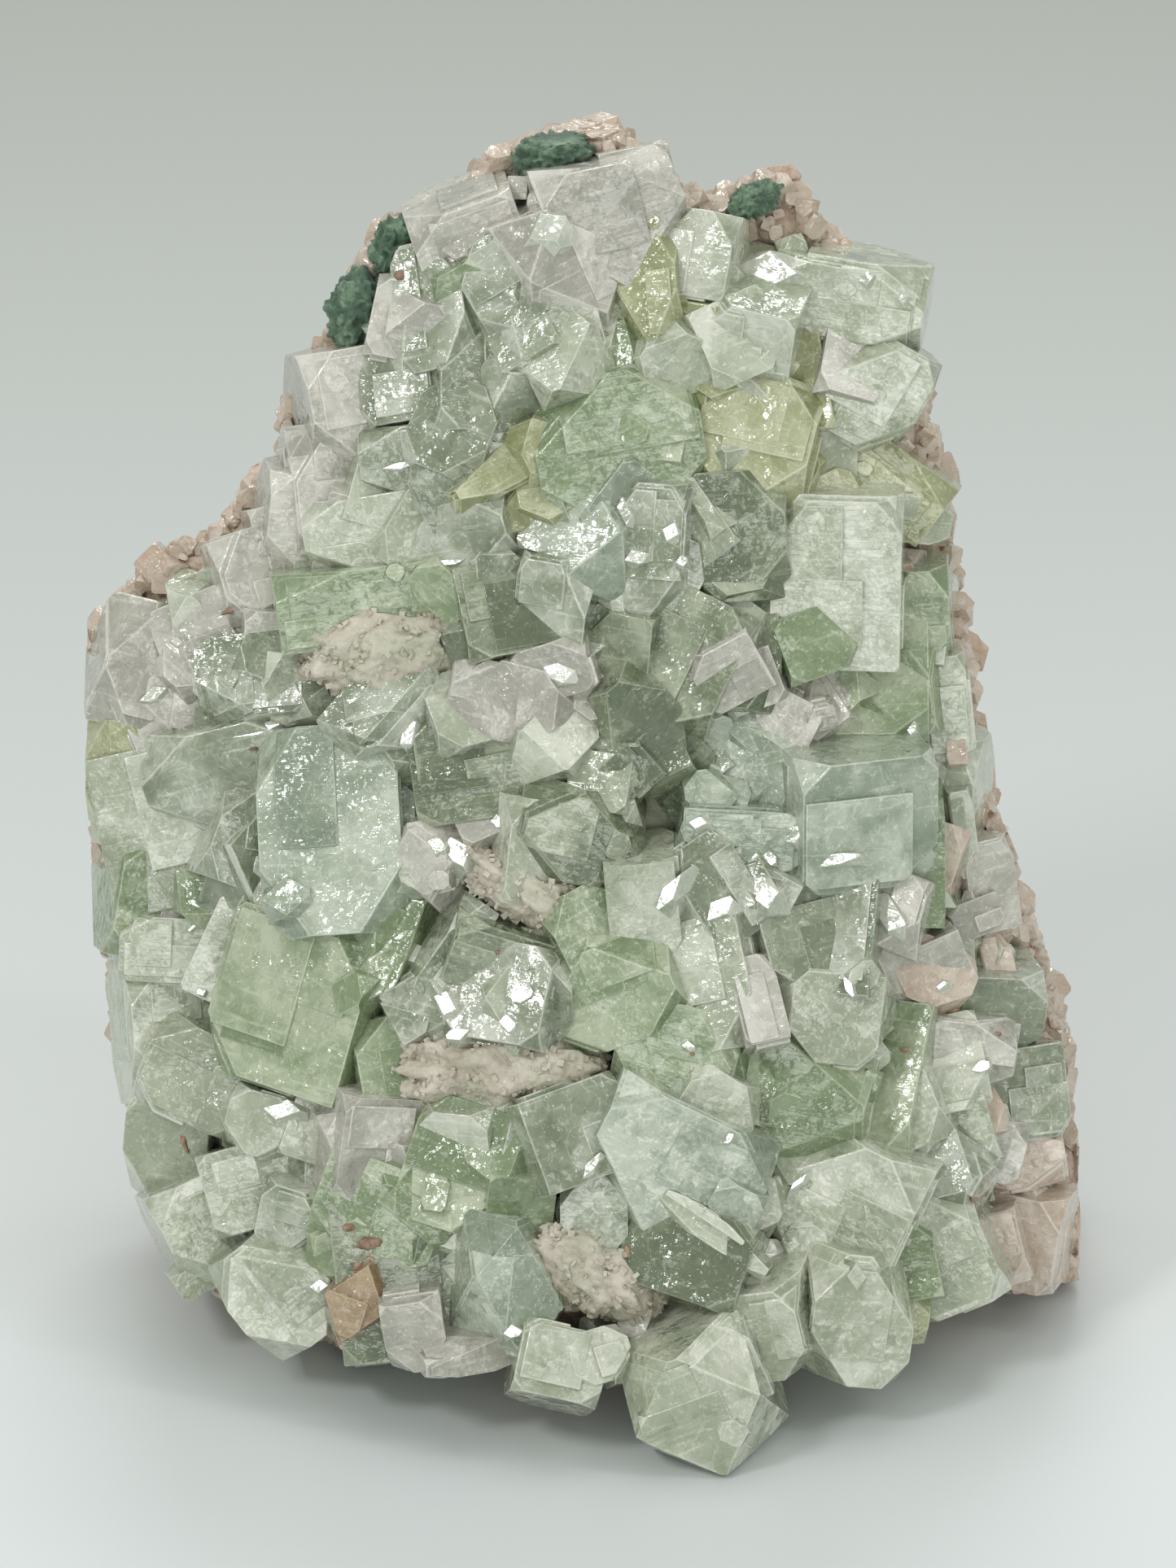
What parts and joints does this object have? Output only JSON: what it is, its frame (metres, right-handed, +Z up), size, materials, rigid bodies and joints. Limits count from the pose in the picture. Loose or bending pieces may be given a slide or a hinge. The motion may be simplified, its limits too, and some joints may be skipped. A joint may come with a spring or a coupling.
{
  "type": "apophyllite crystal cluster",
  "caption": "Mineral specimen: pale green blocky apophyllite crystals grown over a leaning plate of pinkish zeolite rock, standing on a flat broken base.",
  "frame": {"origin": "middle of the whole specimen's box, on the surface that it stands on", "axes": "+Z up, -Y out of the crystal face towards the viewer, +X to the viewer's right"},
  "size_m": [0.0686, 0.0496, 0.0796],
  "materials": {
    "matrix": "rough broken zeolite rock, pinkish tan with brown specks",
    "apophyllite_pale": "glassy cloudy crystal, very pale green, frosty edges",
    "apophyllite_blue_green": "glassy cloudy crystal, pale blue-green",
    "apophyllite_green": "glassy crystal, deeper green with veils",
    "apophyllite_yellow_green": "glassy crystal, yellowish green",
    "apophyllite_clear": "glassy crystal, nearly colourless, cleavage lines and glints",
    "apophyllite_frosted": "frosted crystal, whitish lilac, sugary surface",
    "apophyllite_amber": "iron-stained crystal, amber brown",
    "stilbite": "sugary pinkish white crust, pearly",
    "celadonite": "dull earthy dark green crust"
  },
  "bodies": {
    "root": {"matrix_rock": "matrix", "bottom_crystal": "apophyllite_pale", "foot_block_right": "apophyllite_pale", "foot_block_left": "apophyllite_pale", "corner_block_right": "apophyllite_pale", "slope_block": "apophyllite_pale", "bevelled_block": "apophyllite_blue_green", "tall_clear_block": "apophyllite_pale", "faceted_blue_block": "apophyllite_blue_green", "silver_top_block": "apophyllite_pale", "sparkling_block": "apophyllite_clear", "frosted_ball": "apophyllite_frosted", "large_left_block": "apophyllite_blue_green", "split_block": "apophyllite_clear", "arrow_crystal": "apophyllite_clear", "green_bar": "apophyllite_green", "bright_edge_block": "apophyllite_clear", "window_crystal": "apophyllite_clear", "glint_crystal": "apophyllite_frosted", "lemon_crystal": "apophyllite_yellow_green", "down_pyramid": "apophyllite_clear", "pale_upper_block": "apophyllite_pale", "olive_block": "apophyllite_yellow_green", "pointed_right_block": "apophyllite_pale", "pale_right_block": "apophyllite_pale", "long_blade": "apophyllite_yellow_green", "deep_green_block": "apophyllite_green", "flat_left_block": "apophyllite_pale", "lower_left_slab": "apophyllite_pale", "pale_green_block": "apophyllite_green", "small_cube": "apophyllite_green", "blue_green_block": "apophyllite_blue_green", "rhomb_crystal": "apophyllite_green", "striated_grey_crystal": "apophyllite_clear", "glassy_crystal": "apophyllite_clear", "arrow_right_crystal": "apophyllite_pale", "silver_strip_crystal": "apophyllite_clear", "mirror_crystal": "apophyllite_clear", "step_block": "apophyllite_blue_green", "shelf_block": "apophyllite_blue_green", "belly_crystal": "apophyllite_green", "ridge_crystal": "apophyllite_pale", "lower_green_block": "apophyllite_green", "corner_block_left": "apophyllite_pale", "foot_crystal_left": "apophyllite_pale", "amber_crystal": "apophyllite_amber", "green_round_crystal": "apophyllite_green", "lilac_left_block": "apophyllite_frosted", "long_clear_block": "apophyllite_clear", "lilac_round_crystal": "apophyllite_frosted", "lilac_knob": "apophyllite_frosted", "clear_side_cube": "apophyllite_clear", "stilbite_cap": "stilbite", "stilbite_middle": "stilbite", "stilbite_band": "stilbite", "stilbite_foot": "stilbite", "celadonite_top": "celadonite", "celadonite_left_upper": "celadonite", "celadonite_left_lower": "celadonite", "celadonite_knob": "celadonite"}
  },
  "joints": []
}
